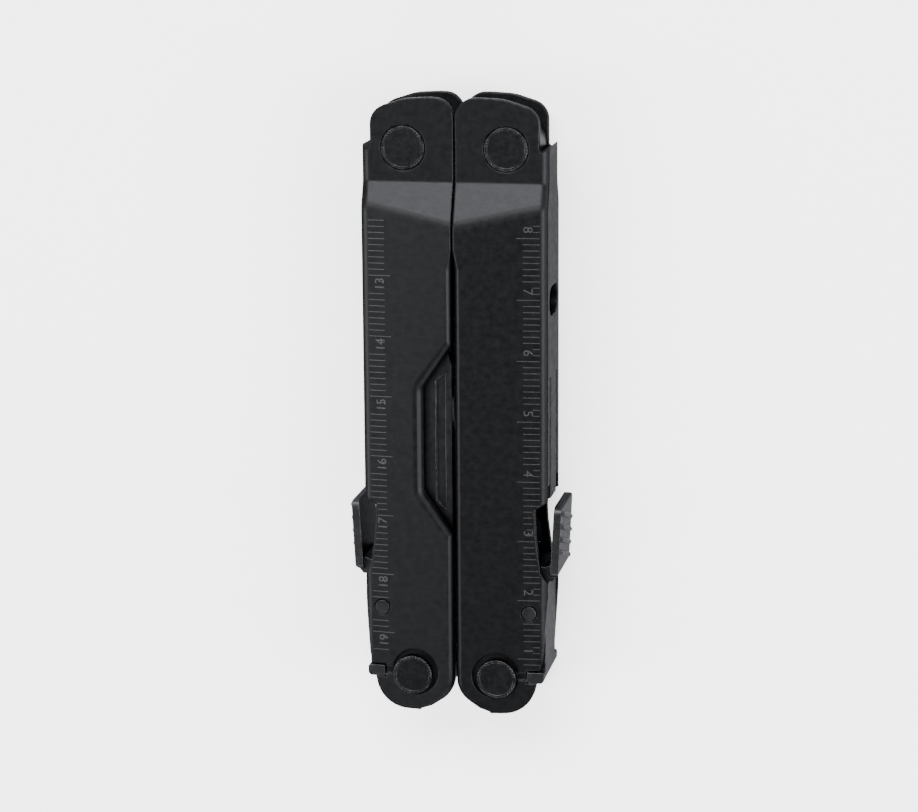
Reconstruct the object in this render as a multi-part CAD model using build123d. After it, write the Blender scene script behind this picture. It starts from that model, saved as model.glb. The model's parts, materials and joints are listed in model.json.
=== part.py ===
from build123d import *
from math import atan, cos, degrees, hypot, pi, radians, sin, tan
import os

# Folding plier multi tool, closed and lying on its back.
# X runs across the two handles, Y along them with the plier pivots at +Y, Z up through the
# thickness. The solids are drawn about the middle plane of the thickness and lifted to rest
# on Z = 0. The left handle is drawn; the right one is the left turned half a turn about Y.

# ---- Driving dimensions, millimetres and degrees ----
LENGTH = 101.6
HALF_WIDTH = 15.25
SEAM_GAP = 0.4
PLATE = 1.3
EAR_HALF = 5.2
SPINE_HALF = 6.6
SEAM_HALF = 7.8
JOGGLE_TOP = 37.3
JOGGLE_RATE = 0.382
BEND_RADIUS = 1.3

HEAD_X = -8.4
HEAD_Y = 42.7
TOOL_X = -7.05
TOOL_Y = -44.6
PLIER_Y = 19.0

BARREL_RADIUS = 2.2
RUNNING_GAP = 0.05
SHANK_RADIUS = 1.3
FLUSH_HEAD_RADIUS = 3.5
RAISED_HEAD_RADIUS = 3.2
HEAD_PROUD = 0.85
DISH_RADIUS = 3.85
DISH_DEPTH = 0.45
RIM_GROOVE = 0.2
GROOVE_DEPTH = 0.3

SPINE_TOP = 42.9
SPINE_END = -12.2
TONGUE_HALF = 2.6
TONGUE_START = 5.5
TONGUE_END = -15.2
TONGUE_SLOT = 1.2
SPINE_HOLE_Y = 17.8
SPINE_HOLE_TALL = 4.8
SPINE_HOLE_WIDE = 8.4

LIP_START = 25.0
LIP_FLOOR = 5.35
LIP_RADIUS = 1.25
LIP_FADE = 3.0
JOGGLE_FOOT_RADIUS = 0.8
JOGGLE_CREST_RADIUS = 5.0
NOTCH_TOP = 9.7
NOTCH_BOTTOM = -19.2
NOTCH_DEPTH = 4.9
NOTCH_FLOOR_TOP = 3.6
NOTCH_FLOOR_BOTTOM = -13.4
NOTCH_CURL = 1.6

LOCK_PIN_X = -12.3
LOCK_PIN_Y = -33.5
LOCK_PIN_RADIUS = 1.15
LOCK_BOSS_RADIUS = 1.8
LOCK_HALF = 4.85
PAD_HALF = 5.9
PAD_THICK = 1.25
TOOTH_LOW = -45.4
TOOTH_HIGH = -43.6
TOOTH_OUT = -14.8
TOOTH_IN = -12.0

JAW_HALF = 3.1
TANG_HALF = 3.6
TANG_RADIUS = 5.15
LAP_RADIUS = 7.8
LAP_CLEAR = 0.2
LAP_GAP = 0.02
JAW_TIP_Y = -23.0
RIVET_RADIUS = 3.0
RIVET_HEAD_RADIUS = 4.4
RIVET_HEAD_DEPTH = 0.9
CUTTER_LOW = 3.3
CUTTER_HIGH = 10.3
CUTTER_WIDE = 3.6
CUTTER_BACK = -1.6
CUTTER_SCREW_RADIUS = 0.8
CUTTER_SCREW_HEAD = 1.15

LAYER_THICK = 1.9
LAYER_PITCH = 2.1
TOOL_TANG_RADIUS = 4.05
WASHER_THICK = 0.16

# ---- Values that follow ----
TOP = LENGTH / 2
BOTTOM = -LENGTH / 2
X_SPINE = -HALF_WIDTH
X_SEAM = -SEAM_GAP / 2


def outer_half(x):
    """Half thickness of the left handle's outer face at x, growing from spine to seam."""
    return SPINE_HALF + (SEAM_HALF - SPINE_HALF) * (x - X_SPINE) / (X_SEAM - X_SPINE)


TOOL_FACE = outer_half(TOOL_X)
LIFT = TOOL_FACE + HEAD_PROUD
STACK_HALF = 2 * LAYER_PITCH + LAYER_THICK / 2


# ---- Small helpers ----
def ring(radius, z_low, z_high, x=0.0, y=0.0):
    """Solid round bar between two heights."""
    height = z_high - z_low
    return Pos(x, y, z_low + height / 2) * Cylinder(radius, height)


def slab(outline, z_low, z_high):
    """Flat outline in XY, thickened between two heights."""
    return Pos(0, 0, z_low) * extrude(outline, z_high - z_low, dir=(0, 0, 1))


def block(x_low, x_high, y_low, y_high, z_low, z_high):
    """Box between two corners."""
    size = (x_high - x_low, y_high - y_low, z_high - z_low)
    return Pos((x_low + x_high) / 2, (y_low + y_high) / 2, (z_low + z_high) / 2) * Box(*size)


def outline_of(points, rounds=None):
    """Closed outline through points; rounds maps a point's number to its corner radius."""
    face = Polygon(*points, align=None)
    for number, radius in (rounds or {}).items():
        corner = Vector(points[number][0], points[number][1], 0)
        nearest = face.vertices().sort_by_distance(corner)[0]
        face = fillet(nearest, radius)
    return face


def turned_over(shape):
    """The same piece for the right handle: half a turn about the long axis."""
    return Rot(0, 180, 0) * shape


def layer(number):
    """Bottom and top height of tool layer 1 (front) to 5 (back) in the left handle."""
    middle = (3 - number) * LAYER_PITCH
    return middle - LAYER_THICK / 2, middle + LAYER_THICK / 2


# ---- Handle ----
def skin_section(x, inset):
    """Closed length-by-thickness section of the handle at x, inset from its outer face."""
    ear = EAR_HALF - inset
    body = outer_half(x) - inset
    shift = inset * (hypot(1, JOGGLE_RATE) - 1) / JOGGLE_RATE
    start = JOGGLE_TOP - shift
    end = start - (body - ear) / JOGGLE_RATE
    top_side = [(x, TOP + 5, ear), (x, start, ear), (x, end, body), (x, BOTTOM - 5, body)]
    low_side = [(x, y, -z) for (_, y, z) in reversed(top_side)]
    section = make_face(Polyline(*top_side, *low_side, close=True))
    for y, z, radius in ((start, ear, JOGGLE_FOOT_RADIUS), (end, body, JOGGLE_CREST_RADIUS)):
        for corner in (Vector(x, y, z), Vector(x, y, -z)):
            section = fillet(section.vertices().sort_by_distance(corner)[0], radius)
    return section


def handle_outline():
    """Front outline of the left handle: ear, spine side, tapered foot and seam side."""
    ear_out = HEAD_X - 5.35
    points = [
        (X_SEAM, TOP - 0.1),
        (HEAD_X + 4.2, TOP),
        (HEAD_X + 0.3, TOP - 0.2),
        (ear_out, TOP - 2.0),
        (ear_out, SPINE_TOP - 0.7),
        (ear_out - 0.55, SPINE_TOP - 0.7),
        (X_SPINE - 0.2, SPINE_TOP + 0.35),
        (X_SPINE - 0.2, -28.5),
        (-14.5, -41.5),
        (TOOL_X - 6.5, TOOL_Y - 0.8),
        (TOOL_X - 5.4, BOTTOM + 0.1),
        (TOOL_X + 1.2, BOTTOM),
        (TOOL_X + 3.0, BOTTOM + 0.6),
        (X_SEAM, BOTTOM + 3.2),
    ]
    return outline_of(points, {0: 3.1, 2: 8.0, 3: 3.2, 4: 0.5, 10: 5.4, 13: 4.6})


def lip_outline():
    """Where the plates curl inward: a strip beside the seam that follows the foot's corner."""
    whole = handle_outline()
    strip = whole - offset(whole, -PLATE)
    reach = outline_of([(X_SEAM - 4, LIP_START), (1, LIP_START), (1, BOTTOM - 1),
                        (TOOL_X + 1.2, BOTTOM - 1), (TOOL_X + 1.2, BOTTOM + 4), (X_SEAM - 4, BOTTOM + 8)])
    return strip & reach


def notch_outline(grow):
    """Finger notch in the front plate, grown outward by grow for its curled border."""
    floor_x = X_SEAM - NOTCH_DEPTH - grow
    return outline_of(
        [(X_SEAM + 1, NOTCH_TOP + 4 + grow), (X_SEAM + 0.15 - grow * 0.2, NOTCH_TOP + 1.4 + grow),
         (floor_x, NOTCH_FLOOR_TOP + grow * 0.5), (floor_x, NOTCH_FLOOR_BOTTOM - grow * 0.5),
         (X_SEAM + 0.15 - grow * 0.2, NOTCH_BOTTOM - 1.4 - grow), (X_SEAM + 1, NOTCH_BOTTOM - 4 - grow)],
        {1: 3.2, 2: 2.0 + grow, 3: 2.0 + grow, 4: 3.2})


def handle():
    """Left handle: one folded plate, a channel open to the seam."""
    skin = loft([skin_section(X_SPINE, 0), skin_section(X_SEAM, 0)], ruled=True)
    spine_edges = skin.edges().filter_by(
        lambda e: abs(e.center().X - X_SPINE) < 0.01 and e.length > 3 and abs(e.center().Z) > 1)
    skin = fillet(spine_edges, BEND_RADIUS)
    skin = skin & slab(handle_outline(), -10, 10)
    hollow = loft([skin_section(X_SPINE + PLATE, PLATE), skin_section(1.0, PLATE)], ruled=True)
    shell = skin - hollow
    strip = slab(lip_outline(), LIP_FLOOR, 10)
    border = slab(notch_outline(PLATE) - notch_outline(0), LIP_FLOOR, 10)
    border = border & slab(handle_outline(), 0, 10)
    for curl in (strip, mirror(strip, Plane.XY), border):
        shell = shell + (skin & curl)
    shell = shell - slab(notch_outline(0), 2, 10) - notch_flare()
    corner = seam_corner()
    shell = shell - corner - mirror(corner, Plane.XY)
    shell = cut_spine(shell)
    return cut_pivots(shell)


def corner_section(radius, y):
    """Section, at y, of what a rounding of that radius takes off the front plate's seam edge."""
    centre_x = X_SEAM - radius
    top = outer_half(X_SEAM)
    low = top - radius
    half_way = radius * cos(pi / 4)
    arc = ThreePointArc((centre_x, y, top), (centre_x + half_way, y, low + half_way), (X_SEAM, y, low))
    rest = Polyline((X_SEAM, y, low), (X_SEAM + 1, y, low), (X_SEAM + 1, y, top + 0.5),
                    (centre_x, y, top + 0.5), (centre_x, y, top))
    return make_face(arc + rest)


def seam_corner():
    """What the curl takes off the front plate: fading in below the joggle, then round the foot."""
    fade_low = LIP_START - LIP_FADE / 2
    fade = loft([corner_section(0.15, fade_low + LIP_FADE), corner_section(LIP_RADIUS, fade_low)], ruled=True)
    foot_top = TOOL_Y + 4
    straight = extrude(corner_section(LIP_RADIUS, fade_low), amount=fade_low - foot_top, dir=(0, -1, 0))
    low = SEAM_HALF - LIP_RADIUS
    sections = []
    for angle in (0, 25, 50, 72, 90):
        inset = LIP_RADIUS * (1 - cos(radians(angle)))
        z = low + LIP_RADIUS * sin(radians(angle))
        whole = handle_outline()
        sections.append(Pos(0, 0, z) * (offset(whole, -inset) if inset > 0 else whole))
    rounded = loft(sections)
    foot = block(TOOL_X + 1.2, 1, BOTTOM - 1, foot_top, low, SEAM_HALF)
    return fade + straight + (foot - rounded)


def notch_flare():
    """What the curl takes off the notch's square border: a quarter round along the sloped face."""
    slope = degrees(atan((SEAM_HALF - SPINE_HALF) / (X_SEAM - X_SPINE)))
    face = Pos(X_SEAM, 0, SEAM_HALF) * Rot(0, -slope, 0)
    sections = [face * Pos(-X_SEAM, 0, 0.6) * notch_outline(NOTCH_CURL)]
    for angle in (0, 22, 45, 68, 90):
        drop = NOTCH_CURL * (1 - cos(radians(angle)))
        grow = NOTCH_CURL * (1 - sin(radians(angle)))
        sections.append(face * Pos(-X_SEAM, 0, -drop) * notch_outline(grow))
    return loft(sections, ruled=True)


def cut_spine(shell):
    """Open the spine: lock bay, spring tongue slots, round-ended opening and pad clearances."""
    inner = SPINE_HALF - PLATE
    x_out = X_SPINE - 1
    x_in = X_SPINE + PLATE + 0.01
    bay = block(x_out, x_in, BOTTOM - 1, SPINE_END, -inner, inner)
    tongue_room = block(x_out, x_in, TONGUE_END, SPINE_END, -TONGUE_HALF, TONGUE_HALF)
    shell = shell - (bay - tongue_room)
    for sign in (1, -1):
        low, high = sorted((sign * TONGUE_HALF, sign * (TONGUE_HALF + TONGUE_SLOT)))
        shell = shell - block(x_out, x_in, SPINE_END - 1, TONGUE_START, low, high)
    opening = extrude(Plane.YZ * SlotOverall(SPINE_HOLE_WIDE, SPINE_HOLE_TALL, rotation=90), 6, both=True)
    shell = shell - Pos(X_SPINE, SPINE_HOLE_Y, 0) * opening
    relief = outline_of([(X_SPINE - 1, -14.8), (X_SPINE + 0.1, -14.8), (X_SPINE + 2.1, -15.9),
                         (X_SPINE + 1.9, -20.5), (X_SPINE + 1.1, -26.6), (X_SPINE + 0.1, -28.4),
                         (X_SPINE - 1, -28.4)], {2: 0.5, 3: 1.0})
    return shell - slab(relief, -10, 10)


def cut_pivots(shell):
    """Holes and recesses for both pivots, the lock pin and the lock tooth."""
    shell = shell - ring(FLUSH_HEAD_RADIUS, -10, 10, HEAD_X, HEAD_Y)
    shell = shell - ring(BARREL_RADIUS, -10, 10, TOOL_X, TOOL_Y)
    shell = shell - ring(LOCK_PIN_RADIUS, -10, 10, LOCK_PIN_X, LOCK_PIN_Y)
    recesses = (
        (DISH_RADIUS, TOOL_FACE - DISH_DEPTH, TOOL_X + 0.35, TOOL_Y + 0.3),
        (LOCK_PIN_RADIUS + RIM_GROOVE, outer_half(LOCK_PIN_X) - GROOVE_DEPTH, LOCK_PIN_X, LOCK_PIN_Y),
        (FLUSH_HEAD_RADIUS + RIM_GROOVE, EAR_HALF - GROOVE_DEPTH, HEAD_X, HEAD_Y),
    )
    for radius, floor, x, y in recesses:
        shell = shell - ring(radius, floor, 10, x, y) - ring(radius, -10, -floor, x, y)
    slot_low = TOOTH_LOW - 0.15
    slot_high = TOOTH_HIGH + 0.35
    shell = shell - block(X_SPINE - 1, TOOTH_IN + 0.25, slot_low, slot_high, -10, 10)
    floor = outer_half(TOOTH_IN) - GROOVE_DEPTH
    for low, high in ((floor, 10), (-10, -floor)):
        shell = shell - block(TOOTH_IN, TOOL_X - 3, slot_low + 0.6, slot_high - 0.5, low, high)
    return shell


# ---- Pivots, screws, washers and spacers, drawn for the left handle ----
def pivot_pair(x, y, head_radius, head_low, head_high, barrel_end):
    """Barrel with a head on the front and the screw that closes it from the back."""
    barrel = ring(head_radius, head_low, head_high, x, y)
    barrel = barrel + ring(BARREL_RADIUS, -barrel_end, head_low, x, y)
    barrel = barrel - ring(SHANK_RADIUS + 0.02, -barrel_end - 1, barrel_end - 1.5, x, y)
    screw = ring(head_radius, -head_high, -head_low, x, y)
    screw = screw + ring(SHANK_RADIUS, -head_low, barrel_end - 2.0, x, y)
    screw = screw - Pos(x, y, -head_high + 0.45) * extrude(RegularPolygon(0.95, 6), 1.2, both=True)
    return barrel, screw


def washer(x, y, radius, z_low, z_high):
    """Flat ring round a pivot barrel."""
    return ring(radius, z_low, z_high, x, y) - ring(BARREL_RADIUS + 0.1, z_low - 1, z_high + 1, x, y)


def head_washers():
    """Two washers between the plier tang and the handle's ears."""
    low = TANG_HALF + 0.02
    high = EAR_HALF - PLATE - 0.02
    upper = washer(HEAD_X, HEAD_Y, 4.4, low, high)
    return upper + mirror(upper, Plane.XY)


def tool_spacers(empty_layer=None):
    """Washers between the tools, thicker ones against the plates, and any empty layer's spacer."""
    outer = washer(TOOL_X, TOOL_Y, 3.9, STACK_HALF + 0.02, TOOL_FACE - PLATE - 0.35)
    rings = outer + mirror(outer, Plane.XY)
    for middle in (1.5, 0.5, -0.5, -1.5):
        z = middle * LAYER_PITCH
        rings = rings + washer(TOOL_X, TOOL_Y, 3.9, z - WASHER_THICK / 2, z + WASHER_THICK / 2)
    if empty_layer:
        low, high = layer(empty_layer)
        rings = rings + washer(TOOL_X, TOOL_Y, TOOL_TANG_RADIUS, low, high)
    return rings


# ---- Lock ----
def lock():
    """Rocker lock: thumb pad, bar on its pin, and the tooth that enters the plate slots."""
    bar = outline_of(
        [(-14.6, -26.0), (-13.2, -26.0), (-13.3, -30.6), (LOCK_PIN_X + 1.0, -31.6),
         (LOCK_PIN_X + 1.0, -34.6), (-13.0, -36.0), (-13.0, TOOTH_HIGH), (TOOTH_IN, TOOTH_HIGH),
         (TOOTH_IN, TOOTH_LOW), (TOOTH_OUT, TOOTH_LOW), (-14.75, -41.2), (-15.0, -29.4),
         (-15.6, -28.0)], {9: 0.7})
    shape = slab(bar, -LOCK_HALF, LOCK_HALF)
    shape = shape + ring(LOCK_BOSS_RADIUS, -LOCK_HALF, LOCK_HALF, LOCK_PIN_X, LOCK_PIN_Y)
    pad = outline_of(
        [(-17.55, -15.6), (-17.0, -27.0), (-15.9, -28.4), (-14.6, -28.4), (-14.6, -26.0),
         (-17.0 + PAD_THICK, -25.6), (-17.55 + PAD_THICK, -15.6)], {0: 0.5, 1: 0.6})
    neck = slab(pad, -LOCK_HALF, LOCK_HALF)
    wide = slab(pad, -PAD_HALF, PAD_HALF)
    wide = wide - block(-15.7, -10, -30, -10, -10, 10)
    wide = wide - block(-18, -10, -30, -27.6, -10, 10)
    rounded = Plane.YZ * Pos(-21.6, 0) * RectangleRounded(12.0, 2 * PAD_HALF, 1.2)
    shape = shape + neck + (wide & extrude(rounded, 30, both=True))
    tooth = outline_of([(TOOTH_OUT, TOOTH_LOW), (TOOTH_IN, TOOTH_LOW), (TOOTH_IN, TOOTH_HIGH),
                        (TOOTH_OUT, TOOTH_HIGH)], {0: 0.7, 3: 0.3})
    shape = shape + slab(tooth, -6.9, 6.9)
    return shape - ring(LOCK_PIN_RADIUS + RUNNING_GAP, -10, 10, LOCK_PIN_X, LOCK_PIN_Y)


def lock_pin():
    """Pin through both plates that the lock rocks on."""
    half = outer_half(LOCK_PIN_X) + 0.05
    return ring(LOCK_PIN_RADIUS, -half, half, LOCK_PIN_X, LOCK_PIN_Y)


# ---- Plier head: the jaw with its tang in the right handle ----
def jaw_outlines():
    """Arm from the right-hand tang to the joint, and nose on the left of the centre line."""
    x = -HEAD_X
    arm = outline_of([(x - 4.7, HEAD_Y + 1.0), (x + 4.7, HEAD_Y - 0.8), (8.6, 24.0), (6.5, 15.5),
                      (1.5, 19.0), (0.3, 26.5)])
    nose = outline_of(
        [(-0.05, 19.0), (-4.6, 18.0), (-7.0, 13.0), (-7.0, 9.5), (-5.4, 0.0), (-3.3, -12.0),
         (-2.0, JAW_TIP_Y), (-0.05, JAW_TIP_Y)], {6: 1.5})
    return arm, nose


def jaw():
    """Jaw whose lap half is the front one."""
    arm, nose = jaw_outlines()
    body = slab(arm, -JAW_HALF, JAW_HALF) + slab(nose, -JAW_HALF, JAW_HALF)
    body = body - ring(LAP_RADIUS + LAP_CLEAR, -5, LAP_GAP, 0, PLIER_Y)
    body = body + ring(LAP_RADIUS, LAP_GAP, JAW_HALF, 0, PLIER_Y)
    body = body + ring(TANG_RADIUS, -TANG_HALF, TANG_HALF, -HEAD_X, HEAD_Y)
    for sign in (1, -1):
        wedge = make_face(Polyline((-12, -2, sign * JAW_HALF), (-12, JAW_TIP_Y - 1, sign * 1.9),
                                   (-12, JAW_TIP_Y - 1, sign * 6), (-12, -2, sign * 6), close=True))
        body = body - extrude(wedge, amount=14, dir=(1, 0, 0))
    body = cut_grip(body)
    body = body - block(-CUTTER_WIDE, 1, CUTTER_LOW, CUTTER_HIGH, CUTTER_BACK, 5)
    hole_x, hole_y = cutter_screw_place()
    body = body - ring(CUTTER_SCREW_RADIUS, -5, 5, hole_x, hole_y)
    body = body - ring(BARREL_RADIUS + RUNNING_GAP, -5, 5, -HEAD_X, HEAD_Y)
    body = body - ring(RIVET_RADIUS + RUNNING_GAP, -5, 5, 0, PLIER_Y)
    head_floor = JAW_HALF - RIVET_HEAD_DEPTH
    return body - ring(RIVET_HEAD_RADIUS + RUNNING_GAP, head_floor, 5, 0, PLIER_Y)


def cut_grip(body):
    """Teeth along the nose and the hollow pipe grip behind them."""
    hollow = Pos(0.9, -1.0, 0) * Cylinder(2.9, 20)
    body = body - hollow
    for number in range(15):
        y = JAW_TIP_Y + 1.6 + number * 1.15
        groove = Pos(-0.05, y, 0) * Rot(0, 0, 45) * Box(0.42, 0.42, 20)
        body = body - groove
    return body


def rivet():
    """Plier joint rivet with a head sunk into each jaw."""
    shape = ring(RIVET_RADIUS, -JAW_HALF, JAW_HALF, 0, PLIER_Y)
    for low, high in ((JAW_HALF - RIVET_HEAD_DEPTH, JAW_HALF), (-JAW_HALF, RIVET_HEAD_DEPTH - JAW_HALF)):
        shape = shape + ring(RIVET_HEAD_RADIUS, low, high, 0, PLIER_Y)
    return shape


def cutter_screw_place():
    """Centre of the wire cutter's screw."""
    return -CUTTER_WIDE / 2 - 0.25, (CUTTER_LOW + CUTTER_HIGH) / 2


def wire_cutter():
    """Replaceable cutting insert with its edge on the centre line."""
    inset = 0.02
    shape = block(-CUTTER_WIDE + inset, -0.05, CUTTER_LOW + inset, CUTTER_HIGH - inset,
                  CUTTER_BACK + inset, JAW_HALF)
    for z_far in (JAW_HALF + 0.3, CUTTER_BACK - 0.3):
        wedge = make_face(Polyline((-0.04, 0, z_far / abs(z_far) * 0.08), (-1.35, 0, z_far),
                                   (1, 0, z_far), (1, 0, z_far / abs(z_far) * 0.08), close=True))
        shape = shape - Pos(0, CUTTER_LOW - 1, 0) * extrude(wedge, amount=9, dir=(0, 1, 0))
    x, y = cutter_screw_place()
    shape = shape - ring(CUTTER_SCREW_RADIUS, -5, 5, x, y)
    return shape - ring(CUTTER_SCREW_HEAD, JAW_HALF - 1.3, 5, x, y)


def cutter_screw():
    """Small screw that holds a wire cutter in its jaw."""
    x, y = cutter_screw_place()
    head = ring(CUTTER_SCREW_HEAD - 0.02, JAW_HALF - 1.28, JAW_HALF - 0.25, x, y)
    head = head - ring(0.5, JAW_HALF - 0.8, 5, x, y)
    return head + ring(CUTTER_SCREW_RADIUS - 0.02, -JAW_HALF + 0.2, JAW_HALF - 1.28, x, y)


# ---- Folding tools, drawn in the left handle; u runs to the seam, v up from the tool pivot ----
def tool_body(number, points, rounds=None):
    """Flat tool in one layer: its blade outline, its round tang and the tang's locking lug."""
    low, high = layer(number)
    placed = [(TOOL_X + u, TOOL_Y + v) for u, v in points]
    body = slab(outline_of(placed, rounds), low, high)
    body = body + ring(TOOL_TANG_RADIUS, low, high, TOOL_X, TOOL_Y)
    lug = [(TOOL_X + 1.5, TOOL_Y - 1.9), (TOOL_X + 4.9, TOOL_Y - 1.9), (TOOL_X + 4.3, TOOL_Y - 3.4),
           (TOOL_X + 1.5, TOOL_Y - 3.4)]
    body = body + slab(outline_of(lug), low, high)
    return body - ring(BARREL_RADIUS + RUNNING_GAP, low - 1, high + 1, TOOL_X, TOOL_Y)


def bevel(body, number, edge_u, start_u, v_low, v_high, left):
    """Grind both faces from start_u down to a thin edge at edge_u, between v_low and v_high."""
    low, high = layer(number)
    middle = (low + high) / 2
    for face_z, sign in ((high, 1), (low, -1)):
        thin = middle + sign * left / 2
        over = face_z + sign * 1.0
        beyond = edge_u + (edge_u - start_u) * 0.4
        slope = (thin - face_z) / (edge_u - start_u)
        far = face_z + slope * (beyond - start_u)
        wedge = make_face(Polyline((TOOL_X + start_u, 0, face_z), (TOOL_X + beyond, 0, far),
                                   (TOOL_X + beyond, 0, over), (TOOL_X + start_u, 0, over), close=True))
        body = body - Pos(0, TOOL_Y + v_low, 0) * extrude(wedge, amount=v_high - v_low, dir=(0, 1, 0))
    return body


def nail_groove(body, number, u, v_low, v_high, front=True):
    """Long shallow trapezoid groove for a fingernail in one face of a blade."""
    low, high = layer(number)
    face = high if front else low
    floor = face - 0.55 if front else face + 0.55
    groove = outline_of([(TOOL_X + u + 0.8, TOOL_Y + v_low), (TOOL_X + u + 0.8, TOOL_Y + v_high),
                         (TOOL_X + u - 0.8, TOOL_Y + v_high - 1.2),
                         (TOOL_X + u - 0.8, TOOL_Y + v_low + 1.2)])
    z_low, z_high = sorted((floor, face + (1 if front else -1)))
    return body - slab(groove, z_low, z_high)


def knife():
    """Clip-point knife blade, front layer, back edge beside the seam."""
    points = [(5.9, 2.0), (6.4, 10.0), (6.4, 52.0), (3.2, 62.0), (-3.6, 72.6), (-5.2, 66.0),
              (-5.4, 30.0), (-5.0, 20.0), (-2.7, 17.5), (-2.7, 4.0), (-3.2, 1.5)]
    body = tool_body(1, points, {5: 9.0, 3: 6.0, 7: 1.0})
    body = bevel(body, 1, -5.4, -1.6, 20.5, 74, 0.25)
    return nail_groove(body, 1, 4.5, 28.0, 50.5)


def serrated_knife():
    """Sheep-foot blade with scalloped edge, the same layer of the other handle."""
    points = [(5.9, 2.0), (6.1, 10.0), (6.1, 60.0), (1.5, 70.0), (-4.6, 72.3), (-5.4, 69.0),
              (-5.4, 20.0), (-2.7, 17.5), (-2.7, 4.0), (-3.2, 1.5)]
    body = tool_body(1, points, {3: 12.0, 4: 0.8, 2: 6.0})
    body = bevel(body, 1, -5.4, -2.2, 20.5, 74, 0.25)
    low, high = layer(1)
    for number in range(12):
        y = TOOL_Y + 25.0 + number * 3.4
        body = body - ring(1.6, low - 1, high + 1, TOOL_X - 6.35, y)
    return nail_groove(body, 1, 4.5, 28.0, 50.5)


def saw():
    """Wood saw with a row of teeth on its inner edge, back layer."""
    points = [(5.6, 2.0), (5.8, 10.0), (5.2, 66.0), (3.6, 70.0), (-3.4, 70.0), (-4.4, 68.6),
              (-4.6, 20.0), (-2.7, 17.5), (-2.7, 4.0), (-3.2, 1.5)]
    body = tool_body(5, points, {2: 2.0, 3: 1.5})
    low, high = layer(5)
    for number in range(26):
        y = TOOL_Y + 22.0 + number * 1.8
        tooth = outline_of([(TOOL_X - 5.2, y - 0.2), (TOOL_X - 3.55, y + 0.8), (TOOL_X - 5.2, y + 1.6)])
        body = body - slab(tooth, low - 1, high + 1)
    return body


def file_tool():
    """Wood and metal file with a saw-cut edge, back layer of the other handle."""
    points = [(5.6, 2.0), (5.4, 10.0), (5.4, 71.0), (-4.6, 71.0), (-4.6, 20.0), (-2.7, 17.5),
              (-2.7, 4.0), (-3.2, 1.5)]
    body = tool_body(5, points, {2: 0.6, 3: 0.6})
    low, _ = layer(5)
    for number in range(30):
        y = TOOL_Y + 22.0 + number * 1.6
        groove = Pos(TOOL_X + 0.4, y, low) * Rot(0, 0, 25) * Rot(45, 0, 0) * Box(9.0, 0.35, 0.35)
        body = body - groove
    return body


def awl():
    """Awl with a thread hole and a ground point, middle layer."""
    points = [(3.6, 2.0), (2.6, 10.0), (1.4, 24.0), (-2.2, 40.0), (-4.6, 47.5), (-5.2, 38.0),
              (-5.0, 21.0), (-2.7, 16.5), (-2.7, 4.0), (-3.2, 1.5)]
    body = tool_body(3, points, {4: 0.4})
    body = bevel(body, 3, -5.2, -2.6, 22, 50, 0.5)
    low, high = layer(3)
    return body - ring(0.9, low - 1, high + 1, TOOL_X - 2.6, TOOL_Y + 34.0)


def can_opener():
    """Can and bottle opener with its hook, second layer."""
    points = [(3.6, 2.0), (3.4, 20.0), (2.0, 30.5), (-1.0, 33.5), (-4.6, 33.0), (-5.2, 29.0),
              (-3.0, 27.6), (-3.0, 24.2), (-5.0, 22.4), (-4.6, 19.0), (-2.7, 17.0), (-2.7, 4.0),
              (-3.2, 1.5)]
    body = tool_body(2, points, {2: 3.0, 3: 2.0, 4: 0.6, 7: 1.0, 6: 1.0})
    return bevel(body, 2, -5.0, -3.4, 18.5, 23.0, 0.4)


def driver_points(tip_v, neck_v, neck_left, neck_right, tip_left, tip_right):
    """Outline shared by the flat drivers: broad root, narrow neck and squared tip."""
    return [(3.6, 2.0), (3.2, 12.0), (2.2, 20.0), (neck_right, neck_v), (tip_right, tip_v),
            (tip_left, tip_v), (neck_left, neck_v), (-2.7, 20.0), (-2.7, 4.0), (-3.2, 1.5)]


def flat_driver(number, tip_v, neck_v, sides):
    """Flat screwdriver whose tip is ground thin from both faces."""
    body = tool_body(number, driver_points(tip_v, neck_v, *sides), {3: 3.0, 6: 3.0})
    low, high = layer(number)
    middle = (low + high) / 2
    y_tip = TOOL_Y + tip_v
    for face_z, sign in ((high, 1), (low, -1)):
        thin = middle + sign * 0.35
        wedge = make_face(Polyline((0, y_tip - 6, face_z), (0, y_tip + 0.1, thin),
                                   (0, y_tip + 0.1, face_z + sign), (0, y_tip - 6, face_z + sign),
                                   close=True))
        body = body - Pos(TOOL_X - 8, 0, 0) * extrude(wedge, amount=16, dir=(1, 0, 0))
    return body


def phillips_driver():
    """Cross-point screwdriver: flat shank with a pointed tip, middle layer."""
    points = [(3.6, 2.0), (3.2, 12.0), (2.0, 22.0), (-1.6, 36.0), (-2.4, 43.0), (-3.3, 46.5),
              (-4.2, 46.5), (-5.2, 43.0), (-5.2, 36.0), (-3.6, 24.0), (-2.7, 18.0), (-2.7, 4.0),
              (-3.2, 1.5)]
    body = tool_body(3, points, {3: 4.0, 8: 4.0})
    low, high = layer(3)
    for z in (low, high):
        groove = Pos(TOOL_X - 3.75, TOOL_Y + 44.5, z) * Rot(0, 45, 0) * Box(0.9, 8.0, 0.9)
        body = body - groove
    return body


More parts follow.
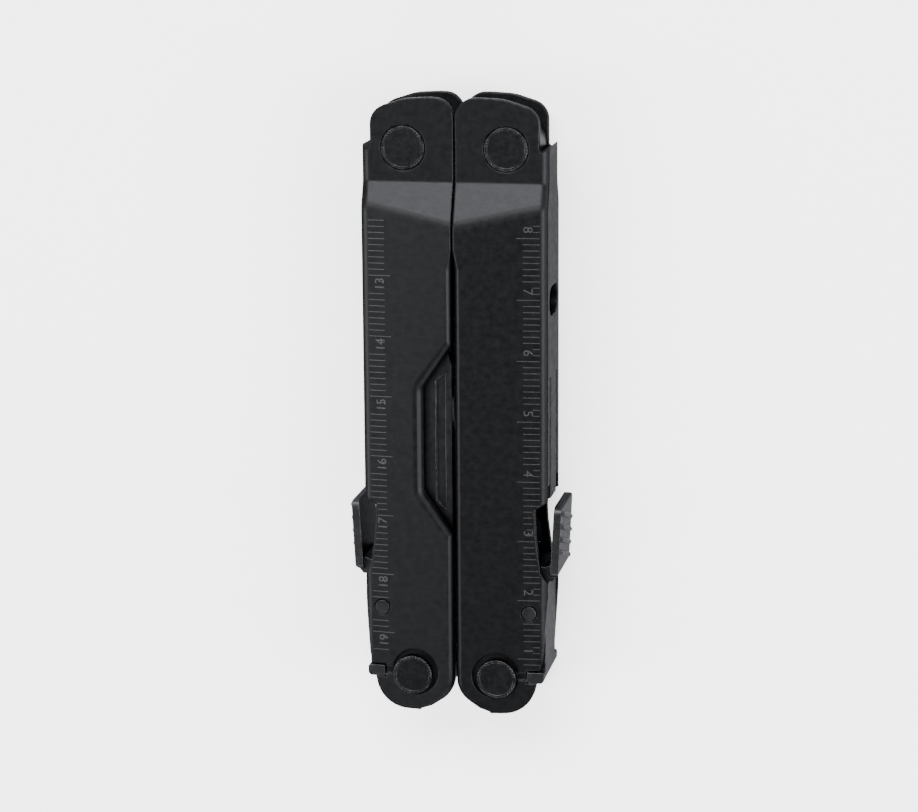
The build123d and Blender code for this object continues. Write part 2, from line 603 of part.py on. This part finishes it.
# ---- Build, lift and write every piece ----
def all_pieces():
    """Every piece of the closed tool by name, about the middle plane."""
    pieces = {}
    plier_jaw = jaw()
    pieces["jaw_front_lap"] = plier_jaw
    pieces["jaw_back_lap"] = turned_over(plier_jaw)
    pieces["plier_rivet"] = rivet()
    pieces["wire_cutter_left"] = wire_cutter()
    pieces["wire_cutter_right"] = turned_over(wire_cutter())
    pieces["cutter_screw_left"] = cutter_screw()
    pieces["cutter_screw_right"] = turned_over(cutter_screw())
    barrel_in = EAR_HALF - PLATE
    head_barrel, head_screw = pivot_pair(
        HEAD_X, HEAD_Y, FLUSH_HEAD_RADIUS, barrel_in, EAR_HALF + 0.05, barrel_in)
    head_low = TOOL_FACE - DISH_DEPTH
    tool_barrel, tool_screw = pivot_pair(
        TOOL_X, TOOL_Y, RAISED_HEAD_RADIUS, head_low, TOOL_FACE + HEAD_PROUD, head_low)
    left = {
        "handle": handle(),
        "head_pivot": head_barrel,
        "head_pivot_screw": head_screw,
        "head_washers": head_washers(),
        "tool_pivot": tool_barrel,
        "tool_pivot_screw": tool_screw,
        "lock": lock(),
        "lock_pin": lock_pin(),
    }
    for name, shape in left.items():
        pieces[name + "_left"] = shape
        pieces[name + "_right"] = mirror(shape, Plane.YZ) if "pivot" in name else turned_over(shape)
    pieces["tool_spacers_left"] = tool_spacers(empty_layer=4)
    pieces["tool_spacers_right"] = turned_over(tool_spacers())
    pieces["knife"] = knife()
    pieces["can_opener"] = can_opener()
    pieces["awl"] = awl()
    pieces["saw"] = saw()
    pieces["serrated_knife"] = turned_over(serrated_knife())
    pieces["large_screwdriver"] = turned_over(flat_driver(2, 45.0, 34.0, (-5.2, -0.6, -5.2, -1.0)))
    pieces["phillips_driver"] = turned_over(phillips_driver())
    pieces["small_screwdriver"] = turned_over(flat_driver(4, 40.0, 28.0, (-4.6, -1.4, -4.4, -1.8)))
    pieces["file"] = turned_over(file_tool())
    return pieces


os.makedirs("parts", exist_ok=True)
for piece_name, piece in all_pieces().items():
    export_step(Pos(0, 0, LIFT) * piece, "parts/" + piece_name + ".step")
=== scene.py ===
import json
import math

import bmesh
import bpy
from mathutils import Matrix, Vector


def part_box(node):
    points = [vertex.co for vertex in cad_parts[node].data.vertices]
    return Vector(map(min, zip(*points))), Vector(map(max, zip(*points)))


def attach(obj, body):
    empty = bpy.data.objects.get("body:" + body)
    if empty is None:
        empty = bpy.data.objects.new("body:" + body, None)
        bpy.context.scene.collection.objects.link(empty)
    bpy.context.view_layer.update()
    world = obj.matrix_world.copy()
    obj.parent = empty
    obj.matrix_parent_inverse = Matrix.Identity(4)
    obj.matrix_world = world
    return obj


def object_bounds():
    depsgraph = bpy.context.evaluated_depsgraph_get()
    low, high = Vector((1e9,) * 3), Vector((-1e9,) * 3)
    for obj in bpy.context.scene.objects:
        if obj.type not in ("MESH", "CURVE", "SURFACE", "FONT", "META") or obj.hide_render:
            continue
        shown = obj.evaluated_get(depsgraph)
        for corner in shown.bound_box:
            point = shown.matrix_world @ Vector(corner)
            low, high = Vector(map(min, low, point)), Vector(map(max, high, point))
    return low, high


# Closed folding multi tool in black oxide steel, lying on its back on a pale table.
# Everything is in metres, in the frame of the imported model: X across, Y along, Z up.

MM = 0.001
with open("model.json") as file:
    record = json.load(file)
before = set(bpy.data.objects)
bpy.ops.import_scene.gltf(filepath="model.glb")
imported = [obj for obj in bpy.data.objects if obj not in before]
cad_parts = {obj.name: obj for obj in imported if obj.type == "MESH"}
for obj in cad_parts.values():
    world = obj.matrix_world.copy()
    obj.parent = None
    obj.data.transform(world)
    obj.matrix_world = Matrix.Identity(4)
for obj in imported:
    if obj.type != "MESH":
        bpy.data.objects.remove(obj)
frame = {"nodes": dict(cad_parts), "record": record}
cad_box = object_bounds()
NODES = frame["nodes"]
SIDES = (("left", -1), ("right", 1))


# ---------------------------------------------------------------- shader helpers
class Shader:
    """A node material with short names for the node kinds used here."""

    def __init__(self, name):
        self.material = bpy.data.materials.new(name)
        self.material.use_nodes = True
        self.tree = self.material.node_tree
        self.surface = self.tree.nodes["Principled BSDF"]
        self.coords = self.add("ShaderNodeTexCoord").outputs["Object"]

    def add(self, kind, **settings):
        """New node of a kind, with its plain settings."""
        node = self.tree.nodes.new(kind)
        for key, value in settings.items():
            setattr(node, key, value)
        return node

    def link(self, source, target):
        """Joins an output to an input."""
        self.tree.links.new(source, target)

    def scaled(self, scale, turn=(0, 0, 0)):
        """Object coordinates, stretched and turned."""
        node = self.add("ShaderNodeMapping")
        node.inputs["Scale"].default_value = scale
        node.inputs["Rotation"].default_value = turn
        self.link(self.coords, node.inputs["Vector"])
        return node.outputs["Vector"]

    def noise(self, vector, scale, detail=4.0, rough=0.55):
        """Fractal noise over a vector."""
        node = self.add("ShaderNodeTexNoise")
        node.inputs["Scale"].default_value = scale
        node.inputs["Detail"].default_value = detail
        node.inputs["Roughness"].default_value = rough
        self.link(vector, node.inputs["Vector"])
        return node.outputs["Fac"]

    def spread(self, value, low, high, to_low=0.0, to_high=1.0):
        """Maps the range low..high onto to_low..to_high."""
        node = self.add("ShaderNodeMapRange")
        node.inputs["From Min"].default_value = low
        node.inputs["From Max"].default_value = high
        node.inputs["To Min"].default_value = to_low
        node.inputs["To Max"].default_value = to_high
        self.link(value, node.inputs["Value"])
        return node.outputs["Result"]

    def math(self, operation, a, b):
        """Arithmetic on two values, each a number or an output."""
        node = self.add("ShaderNodeMath", operation=operation)
        for number, value in enumerate((a, b)):
            if isinstance(value, (int, float)):
                node.inputs[number].default_value = value
            else:
                self.link(value, node.inputs[number])
        return node.outputs["Value"]

    def mix(self, share, first, second):
        """Blends two colours, each a tuple or an output."""
        node = self.add("ShaderNodeMix", data_type="RGBA")
        self.link(share, node.inputs["Factor"])
        for socket, value in ((node.inputs[6], first), (node.inputs[7], second)):
            if isinstance(value, tuple):
                socket.default_value = (*value, 1.0)
            else:
                self.link(value, socket)
        return node.outputs[2]

    def bump(self, height, distance, strength, normal=None):
        """Normal bent by a height, over another normal if given."""
        node = self.add("ShaderNodeBump")
        node.inputs["Distance"].default_value = distance
        node.inputs["Strength"].default_value = strength
        self.link(height, node.inputs["Height"])
        if normal is not None:
            self.link(normal, node.inputs["Normal"])
        return node.outputs["Normal"]

    def bevel(self, radius):
        """Normal rounded over edges of that radius."""
        node = self.add("ShaderNodeBevel", samples=6)
        node.inputs["Radius"].default_value = radius
        return node.outputs["Normal"]

    def edge_mask(self, rounded):
        """0 on flat surfaces, up to 1 where the rounded normal leaves the true one at an edge."""
        geometry = self.add("ShaderNodeNewGeometry")
        dot = self.add("ShaderNodeVectorMath", operation="DOT_PRODUCT")
        self.link(rounded, dot.inputs[0])
        self.link(geometry.outputs["Normal"], dot.inputs[1])
        return self.spread(dot.outputs["Value"], 0.995, 0.80)


EDGE_TINT = (0.36, 0.36, 0.365)


def steel(name, dark, pale, roughness, streak=(60.0, 900.0, 60.0), worn_and_highlight_tint=(0.10, 0.10, 0.105), edge=0.16,
          wear_and_highlight=0.55, grain=0.35):
    """Blackened or bare steel: mottled colour, directional grinding marks, and rounded edges tinted paler,
    partly as edge wear and partly as a painted highlight.
    """
    shader = Shader(name)
    lines = shader.noise(shader.scaled(streak), 9.0, 3.0, 0.6)
    mottle = shader.noise(shader.coords, 900.0, 5.0, 0.65)
    speck = shader.noise(shader.coords, 5200.0, 2.0, 0.5)
    blend = shader.math("ADD", shader.math("MULTIPLY", lines, 0.45), shader.math("MULTIPLY", mottle, 0.55))
    colour = shader.mix(shader.spread(blend, 0.38, 0.62), dark, pale)
    rounded = shader.bevel(edge * MM)
    # Paler tint towards rounded edges: partly real edge wear, partly a painted highlight standing in for
    # the rims catching the light.
    patchy = shader.spread(shader.noise(shader.coords, 900.0, 3.0), 0.35, 0.6)
    wear_and_highlight_mask = shader.math("MULTIPLY", shader.edge_mask(rounded), shader.math("MULTIPLY", patchy, wear_and_highlight))
    shader.link(shader.mix(wear_and_highlight_mask, colour, worn_and_highlight_tint), shader.surface.inputs["Base Color"])
    rough = shader.spread(shader.math("ADD", shader.math("MULTIPLY", mottle, 0.6),
                                      shader.math("MULTIPLY", speck, 0.4)),
                          0.35, 0.65, roughness - 0.05, roughness + 0.07)
    shader.link(rough, shader.surface.inputs["Roughness"])
    height = shader.math("ADD", shader.math("MULTIPLY", lines, 0.5), speck)
    shader.link(shader.bump(height, 0.012 * MM, grain, rounded), shader.surface.inputs["Normal"])
    shader.surface.inputs["Metallic"].default_value = 1.0
    shader.surface.inputs["Specular Tint"].default_value = (*EDGE_TINT, 1.0)
    return shader.material


def etched_mark():
    """Ruler lines and figures, cut through the black finish into paler steel."""
    shader = Shader("etched_mark")
    speck = shader.noise(shader.coords, 4000.0, 3.0)
    shader.link(shader.mix(shader.spread(speck, 0.35, 0.65), (0.035, 0.036, 0.038), (0.058, 0.059, 0.062)),
                shader.surface.inputs["Base Color"])
    shader.link(shader.spread(speck, 0.3, 0.7, 0.42, 0.6), shader.surface.inputs["Roughness"])
    shader.surface.inputs["Metallic"].default_value = 0.8
    return shader.material


def table_top():
    """Plain pale floor with the faintest unevenness."""
    shader = Shader("pale_floor")
    cloud = shader.noise(shader.coords, 6.0, 3.0)
    shader.link(shader.mix(cloud, (0.86, 0.86, 0.86), (0.90, 0.90, 0.90)),
                shader.surface.inputs["Base Color"])
    shader.surface.inputs["Roughness"].default_value = 0.7
    shader.surface.inputs["Specular IOR Level"].default_value = 0.2
    shader.surface.inputs["Emission Color"].default_value = (1.0, 1.0, 1.0, 1.0)
    shader.surface.inputs["Emission Strength"].default_value = 1.7
    return shader.material


# The paler edge tint given to each steel is part edge wear, part painted rim highlight.
MATERIALS = {
    "handle_black": steel("handle_black", (0.0135, 0.014, 0.0148), (0.0175, 0.018, 0.019), 0.42,
                          worn_and_highlight_tint=(0.05, 0.051, 0.053), wear_and_highlight=0.5, edge=0.34),
    "jaw_black": steel("jaw_black", (0.045, 0.045, 0.047), (0.070, 0.070, 0.072), 0.30,
                       streak=(900.0, 60.0, 60.0), worn_and_highlight_tint=(0.25, 0.25, 0.26)),
    "tool_black": steel("tool_black", (0.045, 0.046, 0.048), (0.065, 0.066, 0.068), 0.30,
                        streak=(900.0, 60.0, 60.0), worn_and_highlight_tint=(0.28, 0.28, 0.29)),
    "blade_steel": steel("blade_steel", (0.026, 0.0265, 0.028), (0.036, 0.037, 0.039), 0.32,
                         streak=(900.0, 40.0, 60.0), worn_and_highlight_tint=(0.25, 0.25, 0.26), wear_and_highlight=0.35, grain=0.2),
    "pivot_black": steel("pivot_black", (0.016, 0.0165, 0.0175), (0.022, 0.0225, 0.0235), 0.36,
                         streak=(200.0, 200.0, 200.0), worn_and_highlight_tint=(0.20, 0.20, 0.21)),
    "lock_black": steel("lock_black", (0.024, 0.0245, 0.026), (0.034, 0.035, 0.037), 0.42,
                        worn_and_highlight_tint=(0.18, 0.18, 0.185)),
    "cutter_steel": steel("cutter_steel", (0.30, 0.30, 0.31), (0.40, 0.40, 0.41), 0.26,
                          worn_and_highlight_tint=(0.6, 0.6, 0.6)),
    "washer_bronze": steel("washer_bronze", (0.40, 0.25, 0.11), (0.50, 0.33, 0.16), 0.35,
                           worn_and_highlight_tint=(0.6, 0.42, 0.22)),
    "spacer_steel": steel("spacer_steel", (0.30, 0.30, 0.31), (0.38, 0.38, 0.39), 0.3,
                          worn_and_highlight_tint=(0.5, 0.5, 0.5)),
}
MARK = etched_mark()

for part in frame["record"]["subparts"]:
    holder = NODES[part["node"]]
    holder.data.materials.clear()
    holder.data.materials.append(MATERIALS[part["material_slot"]])


# ---------------------------------------------------------------- places from the frame
def middle_of(node):
    """Middle of a node's box."""
    low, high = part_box(node)
    return (low + high) / 2


HEAD = {side: middle_of("head_pivot_" + side) for side, _ in SIDES}
TOOL = {side: middle_of("tool_pivot_" + side) for side, _ in SIDES}
LOW, HIGH = cad_box
MID_Z = (LOW.z + HIGH.z) / 2
BODY_LOW, BODY_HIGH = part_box("handle_left")
SEAM_X = BODY_HIGH.x
SPINE_X = BODY_LOW.x
SEAM_HALF = (BODY_HIGH.z - BODY_LOW.z) / 2
FACE_DROP = 1.2 * MM
SPINE_HALF = SEAM_HALF - FACE_DROP
FOOT_Y = BODY_LOW.y


def face_half(x):
    """Half thickness of the handles' outer faces at a distance |x| from the seam."""
    share = (abs(x) - abs(SEAM_X)) / (abs(SPINE_X) - abs(SEAM_X))
    return SEAM_HALF + (SPINE_HALF - SEAM_HALF) * share


def mesh_piece(name, bm, material, body):
    """Turns a bmesh into a piece that rides on a body."""
    bmesh.ops.recalc_face_normals(bm, faces=bm.faces)
    mesh = bpy.data.meshes.new(name)
    bm.to_mesh(mesh)
    bm.free()
    piece = bpy.data.objects.new(name, mesh)
    bpy.context.scene.collection.objects.link(piece)
    mesh.materials.append(material)
    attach(piece, body)
    return piece


# ---------------------------------------------------------------- rulers
TICK_RISE = 0.012 * MM
TICK_WIDTH = 0.12 * MM
RULER_INSET = {1: 1.15 * MM, -1: 1.3 * MM}
SHORT_LINE = 1.1 * MM
SHORT_LINE_LEFT = (1.9 * MM, 2.6 * MM)
FIGURE_SIZE = 2.2 * MM
FIGURE_IN = 1.95 * MM
FIGURE_ALONG = 1.4 * MM
PIN_ROOM = 1.5 * MM
TOOTH_ROOM = 1.3 * MM
TOOTH_RISE = 0.1 * MM
# Millimetres along the handle, and how deep the plate is cut away there behind a thumb pad.
PAD_CUT = ((-28.4, 0.1), (-26.6, 1.1), (-20.5, 1.9), (-15.9, 2.1), (-14.8, 0.1))


def add_tick(bm, x_from, x_to, y, front):
    """One engraved line across the handle's edge zone, lying on its sloped face."""
    sign = 1 if front else -1
    corners = []
    for x, dy in ((x_from, -1), (x_to, -1), (x_to, 1), (x_from, 1)):
        z = MID_Z + sign * (face_half(x) + TICK_RISE)
        corners.append(bm.verts.new((x, y + dy * TICK_WIDTH / 2, z)))
    base = [bm.verts.new((v.co.x, v.co.y, v.co.z - sign * 3 * TICK_RISE)) for v in corners]
    bm.faces.new(corners)
    bm.faces.new(base)
    for number in range(4):
        after = (number + 1) % 4
        bm.faces.new((corners[number], corners[after], base[after], base[number]))


def figure(name, text, x, y, front, side, body):
    """A ruler figure standing sideways beside its long tick."""
    curve = bpy.data.curves.new(name, "FONT")
    curve.body = text
    curve.size = FIGURE_SIZE
    curve.align_x = "CENTER"
    curve.align_y = "CENTER"
    curve.extrude = TICK_RISE
    curve.space_character = 0.95
    words = bpy.data.objects.new(name, curve)
    bpy.context.scene.collection.objects.link(words)
    sign = 1 if front else -1
    tilt = math.atan((SEAM_HALF - SPINE_HALF) / (abs(SPINE_X) - abs(SEAM_X)))
    turn = Matrix.Rotation(side * tilt, 4, "Y")
    if not front:
        turn = Matrix.Rotation(math.pi, 4, "Y") @ Matrix.Rotation(-side * tilt, 4, "Y")
    place = Matrix.Translation((x, y, MID_Z + sign * face_half(x)))
    spin = Matrix.Rotation(math.radians(-90 * side * sign), 4, "Z")
    words.matrix_world = place @ turn @ spin
    bpy.context.view_layer.update()
    graph = bpy.context.evaluated_depsgraph_get()
    mesh = bpy.data.meshes.new_from_object(words.evaluated_get(graph))
    mesh.transform(words.matrix_world)
    bpy.data.objects.remove(words)
    bm = bmesh.new()
    bm.from_mesh(mesh)
    bpy.data.meshes.remove(mesh)
    return mesh_piece(name, bm, MARK, body)


def ruler(side, sign, front, unit, steps, first, last, zero_y, upward):
    """A scale on the outer edge of one face; each figure sits on the zero side of its long line."""
    body = "handle_" + side
    face = "front" if front else "back"
    x_edge = sign * (abs(SPINE_X) - RULER_INSET[sign])
    towards = 1 if upward else -1
    bm = bmesh.new()
    for step in range(first, last + 1):
        y = zero_y + towards * step * unit / steps
        if hidden_tick(y):
            continue
        part = step % steps
        outer, inner = cut_in(y, x_edge), tick_length(part, steps)
        away = part if sign * towards > 0 else part - steps
        if beside_figure(abs(away), steps) and first <= step - away <= last:
            outer, inner = (outer, outer + SHORT_LINE) if sign > 0 else SHORT_LINE_LEFT
        add_tick(bm, x_edge - sign * outer, x_edge - sign * inner, y, front)
        if part == 0:
            number = step // steps
            figure("figure_%s_%s_%d" % (face, side, number), str(number), x_edge - sign * FIGURE_IN,
                   y + sign * FIGURE_ALONG, front, sign, body)
    mesh_piece("ruler_%s_%s" % (face, side), bm, MARK, body)


def cut_in(y, x_edge):
    """How far a line starts in from x_edge, so that none hangs over the opening behind a pad."""
    place = y / MM
    for (low_y, low_in), (high_y, high_in) in zip(PAD_CUT, PAD_CUT[1:]):
        if low_y <= place <= high_y:
            deep = low_in + (high_in - low_in) * (place - low_y) / (high_y - low_y)
            return max(0.0, (deep + 0.3) * MM - (abs(SPINE_X) - abs(x_edge)))
    return 0.0


def tick_length(part, steps):
    """Length of a line by its place in the unit: metric has two lengths, inches have four."""
    if part == 0:
        return 3.7 * MM
    if steps == 10:
        return 2.7 * MM
    return (3.1 if part == steps // 2 else 2.6 if part % 4 == 0 else 2.0) * MM


def beside_figure(away, steps):
    """True for the lines, counted from a long line, that run into its figure."""
    return 1 <= away <= (2 if steps == 10 else 1)


def hidden_tick(y):
    """True where the lock pin and tooth leave no room for a line."""
    near_pin = abs(y - middle_of("lock_pin_left").y) < PIN_ROOM
    near_tooth = abs(y - (TOOL["left"].y + TOOTH_RISE)) < TOOTH_ROOM
    return near_pin or near_tooth


def all_rulers():
    """Centimetres on the front, inches on the back; the second scale carries on from the first."""
    centimetre = 10 * MM
    inch = 25.4 * MM
    start = FOOT_Y - 0.45 * MM
    ruler("right", 1, True, centimetre, 10, 8, 82, start, True)
    ruler("left", -1, True, centimetre, 10, 121, 193, start + 203.4 * MM, False)
    ruler("left", -1, False, inch, 16, 5, 51, start, True)
    ruler("right", 1, False, inch, 16, 77, 123, start + 203.2 * MM, False)


all_rulers()


# ---------------------------------------------------------------- pivots
def knurl(name, centre, radius, tall, face_z, sign, count, body):
    """Ring of small teeth round a head; its outer face lies at face_z, looking along sign."""
    depth = 0.26 * MM
    inner_radius = radius - depth - 0.3 * MM
    steps = count * 4
    root_z = face_z - sign * tall
    profile = ((root_z, 0.0), (face_z - sign * 0.09 * MM, 0.0), (face_z, 0.1 * MM))
    bm = bmesh.new()
    rings = []
    for z, shrink in profile:
        waves = [radius - depth + depth * (0.0, 0.8, 1.0, 0.8)[n % 4] - shrink for n in range(steps)]
        rings.append(ring_of(bm, centre, waves, z))
    for z in (face_z, root_z):
        rings.append(ring_of(bm, centre, [inner_radius] * steps, z))
    for first, second in zip(rings, rings[1:] + rings[:1]):
        for number in range(steps):
            after = (number + 1) % steps
            bm.faces.new((first[number], first[after], second[after], second[number]))
    return mesh_piece(name, bm, MATERIALS["pivot_black"], body)


def ring_of(bm, centre, radii, z):
    """Closed row of points round a centre, one radius for each."""
    row = []
    for number, r in enumerate(radii):
        angle = 2 * math.pi * number / len(radii)
        row.append(bm.verts.new((centre.x + r * math.cos(angle), centre.y + r * math.sin(angle), z)))
    return row


def all_knurls():
    """Toothed rims on the eight visible heads: flush ones at the ears, raised ones at the feet."""
    for side, _ in SIDES:
        for kind, centre, radius, tall, count in (
                ("head_pivot_", HEAD[side], 3.58 * MM, 0.25 * MM, 40),
                ("tool_pivot_", TOOL[side], 3.3 * MM, 1.0 * MM, 36)):
            plain_low, plain_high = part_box(kind + side)
            screw_low, screw_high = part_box(kind + "screw_" + side)
            front_z = max(plain_high.z, screw_high.z) + 0.05 * MM
            back_z = min(plain_low.z, screw_low.z) - 0.015 * MM
            for face, face_z, sign in (("front", front_z, 1), ("back", back_z, -1)):
                knurl("knurl_%s%s_%s" % (kind, side, face), centre, radius, tall, face_z, sign, count,
                      "handle_" + side)


all_knurls()


# ---------------------------------------------------------------- lock pads
def pad_ribs():
    """Four slanted ribs on the outside of each thumb pad."""
    for side, sign in SIDES:
        low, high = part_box("lock_" + side)
        outer_x = high.x if sign > 0 else low.x
        top_y = high.y
        bm = bmesh.new()
        for number in range(4):
            y0 = top_y - (2.6 + number * 2.2) * MM
            add_rib(bm, sign, outer_x, top_y, y0)
        mesh_piece("pad_ribs_" + side, bm, MATERIALS["lock_black"], "lock_" + side)


def add_rib(bm, sign, outer_x, top_y, y0):
    """One rounded rib that slants across the pad."""
    half = 5.2 * MM
    lean = 1.6 * MM
    sections = []
    for share in (-1.0, -0.9, 0.9, 1.0):
        z = MID_Z + share * half
        y = y0 + share * lean
        surface = outer_x - sign * (top_y - y) * 0.55 / 11.4
        height = 0.0 if abs(share) == 1.0 else 0.5 * MM
        row = []
        for dy, up in ((-0.55, 0.0), (-0.3, 0.8), (0.0, 1.0), (0.3, 0.8), (0.55, 0.0)):
            row.append(bm.verts.new((surface + sign * (height * up - 0.04 * MM), y + dy * MM, z)))
        sections.append(row)
    for first, second in zip(sections, sections[1:]):
        for number in range(4):
            bm.faces.new((first[number], first[number + 1], second[number + 1], second[number]))
        bm.faces.new((first[0], second[0], second[4], first[4]))
    bm.faces.new(sections[0])
    bm.faces.new(sections[-1])


pad_ribs()


# ---------------------------------------------------------------- stage
def stage():
    """Pale floor, world light and soft lights."""
    bm = bmesh.new()
    bmesh.ops.create_grid(bm, x_segments=1, y_segments=1, size=1.6)
    mesh = bpy.data.meshes.new("floor")
    bm.to_mesh(mesh)
    bm.free()
    floor = bpy.data.objects.new("floor", mesh)
    floor.location.z = LOW.z - 0.02 * MM
    mesh.materials.append(table_top())
    bpy.context.scene.collection.objects.link(floor)

    world = bpy.data.worlds.new("studio")
    world.use_nodes = True
    world.node_tree.nodes["Background"].inputs["Color"].default_value = (0.97, 0.98, 1.0, 1)
    world.node_tree.nodes["Background"].inputs["Strength"].default_value = 0.45
    bpy.context.scene.world = world

    soft_light("top_softbox", (-0.10, 0.75, 0.95), 1.0, 0.5, 29.0)
    soft_light("right_softbox", (1.0, -0.1, 0.75), 0.5, 0.9, 20.0)
    soft_light("foot_softbox", (0.1, -1.1, 0.55), 1.2, 0.6, 12.0)
    soft_light("left_softbox", (-0.95, -0.2, 0.8), 0.4, 0.9, 15.0)


def soft_light(name, place, wide, tall, power):
    """Rectangular softbox that looks at the middle of the tool."""
    data = bpy.data.lights.new(name, "AREA")
    data.shape = "RECTANGLE"
    data.size = wide
    data.size_y = tall
    data.energy = power
    light = bpy.data.objects.new(name, data)
    light.location = place
    aim = Vector((0, 0, MID_Z)) - Vector(place)
    light.rotation_euler = aim.to_track_quat("-Z", "Y").to_euler()
    bpy.context.scene.collection.objects.link(light)


def camera():
    """Close view from above, a little to the right and from the pivot end."""
    azimuth = math.radians(11.14)
    lift = math.radians(12.54)
    roll = math.radians(-0.39)
    distance = 0.46585
    focal_px = 2829.5
    target = Vector((-0.487 * MM, -0.52 * MM, MID_Z))
    back = Vector((math.sin(azimuth) * math.cos(lift), math.sin(lift), math.cos(azimuth) * math.cos(lift)))
    right = (-back).cross(Vector((0, 1, 0))).normalized()
    up = right.cross(-back)
    turned_right = math.cos(roll) * right + math.sin(roll) * up
    turned_up = -math.sin(roll) * right + math.cos(roll) * up
    data = bpy.data.cameras.new("camera")
    data.sensor_width = 36.0
    data.lens = focal_px * data.sensor_width / 918
    data.clip_start = 0.01
    holder = bpy.data.objects.new("camera", data)
    place = target + distance * back
    rows = zip(turned_right, turned_up, back, place)
    holder.matrix_world = Matrix([list(row) for row in rows] + [[0, 0, 0, 1]])
    bpy.context.scene.collection.objects.link(holder)
    bpy.context.scene.camera = holder


stage()
camera()
